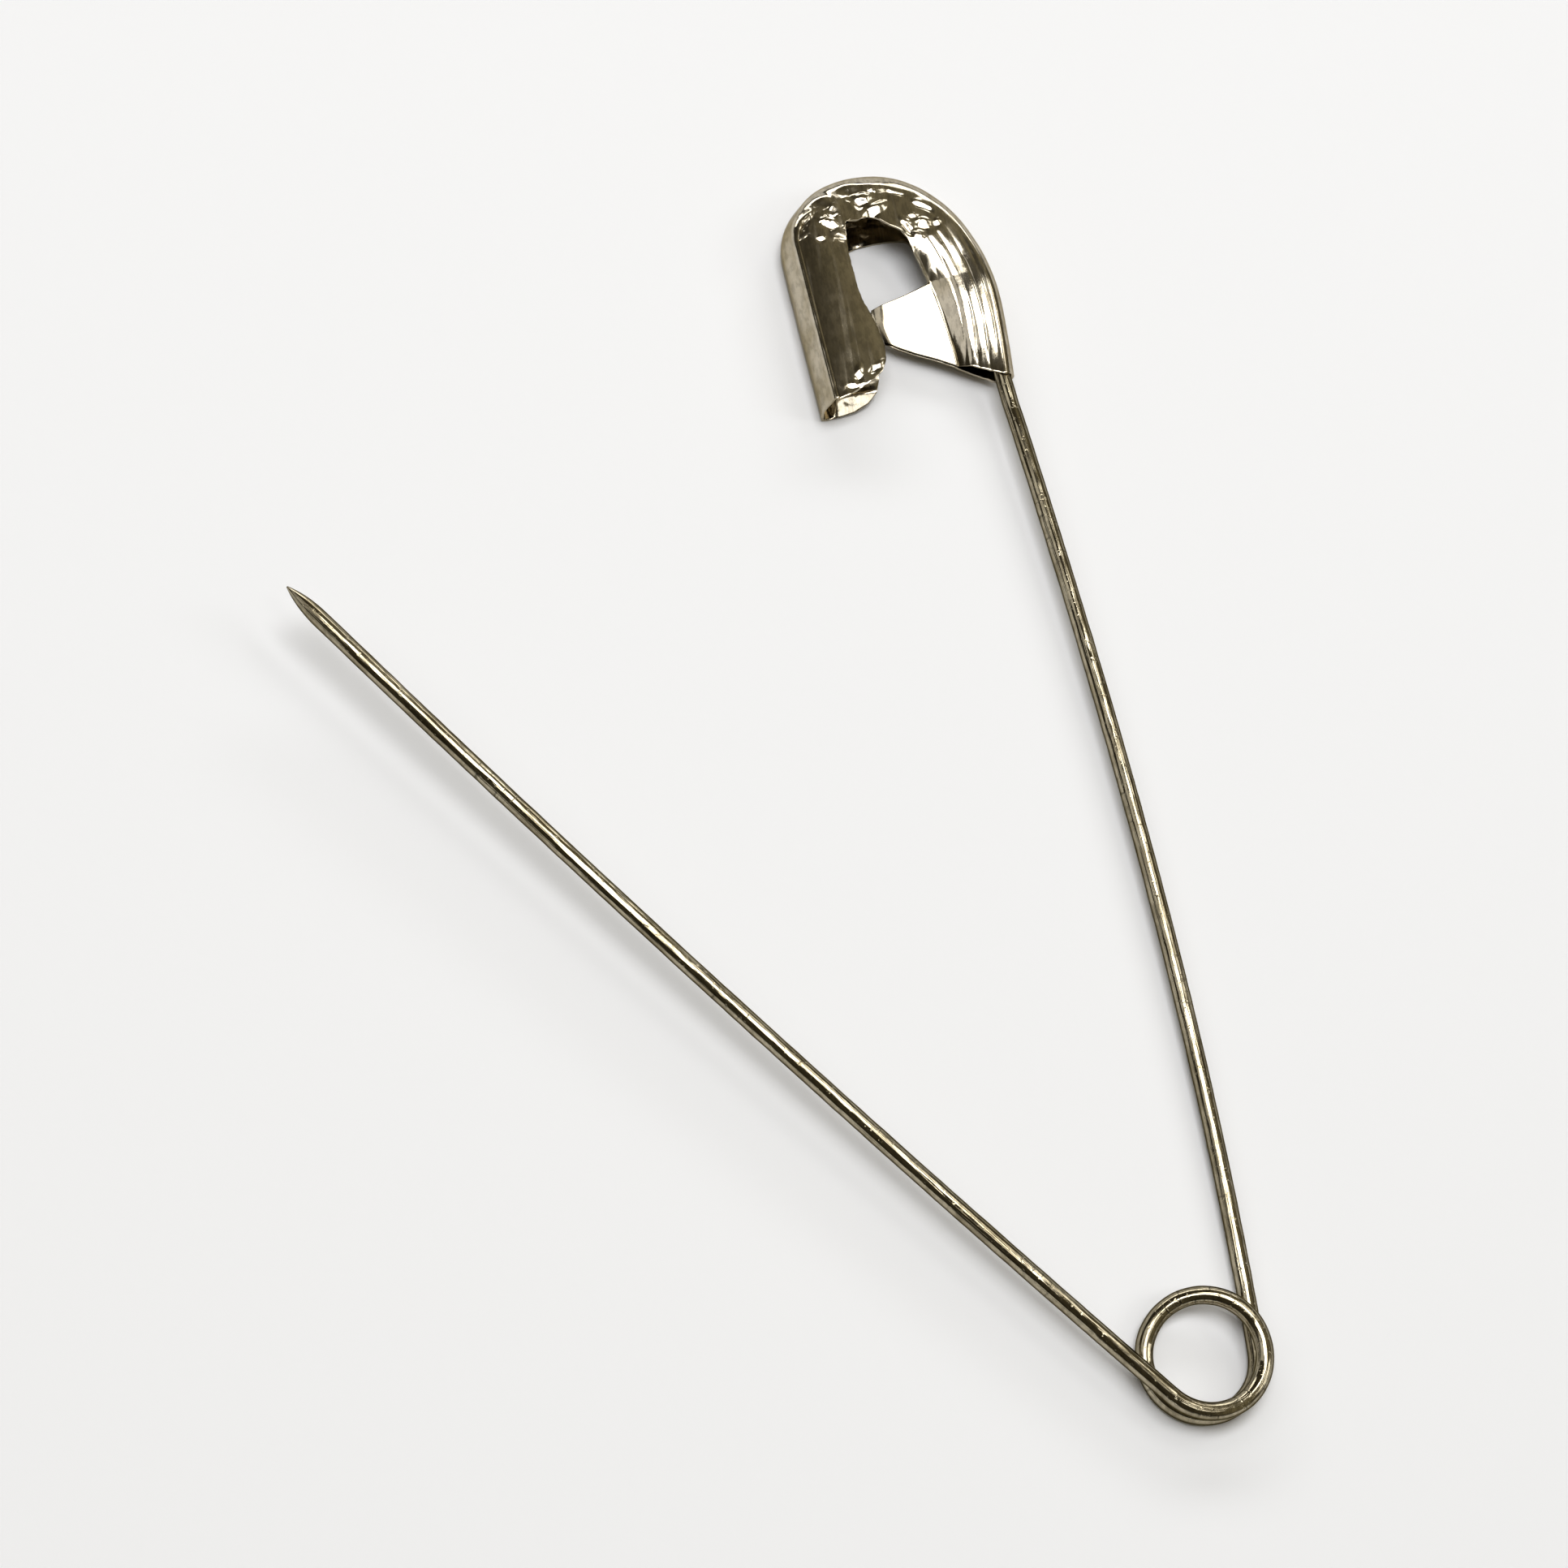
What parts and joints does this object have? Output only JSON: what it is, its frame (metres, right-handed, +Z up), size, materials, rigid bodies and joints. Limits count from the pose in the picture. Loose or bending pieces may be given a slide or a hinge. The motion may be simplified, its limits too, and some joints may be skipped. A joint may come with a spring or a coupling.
{
  "type": "safety pin",
  "caption": "Large bright steel safety pin, open: bowed back arm, spring coil, swinging pointed pin arm and a folded sheet-metal clasp cap with a guard tongue.",
  "frame": {"origin": "middle of the open pin's footprint, on the surface that the cap's back and the coil rest on", "axes": "+Y along the pin from the coil towards the clasp cap, +Z up from the surface to the side that the pin arm swings over, +X towards the back arm"},
  "size_m": [0.0592, 0.0994, 0.0054],
  "materials": {
    "plated_sheet": "bright nickel plate",
    "plated_wire": "bright nickel plate"
  },
  "bodies": {
    "cap_and_back_arm": {"clasp_cap": "plated_sheet", "back_arm": "plated_wire"},
    "coil": {"spring_coil": "plated_wire"},
    "pin": {"pin_arm": "plated_wire"}
  },
  "joints": [
    {"name": "pin_swing", "type": "hinge", "parent": "cap_and_back_arm", "child": "coil", "pos_m": [0.02314, -0.04494, 0.0019], "axis": [0, 0, -1], "range_deg": [-15, 37], "stiffness_Nm_per_rad": 0.3, "deforming": ["spring_coil"]},
    {"name": "pin_press", "type": "hinge", "parent": "coil", "child": "pin", "pos_m": [0.01985, -0.04738, 0.00237], "axis": [-0.809, -0.5878, 0], "range_deg": [-5, 1.4], "stiffness_Nm_per_rad": 0.25}
  ]
}
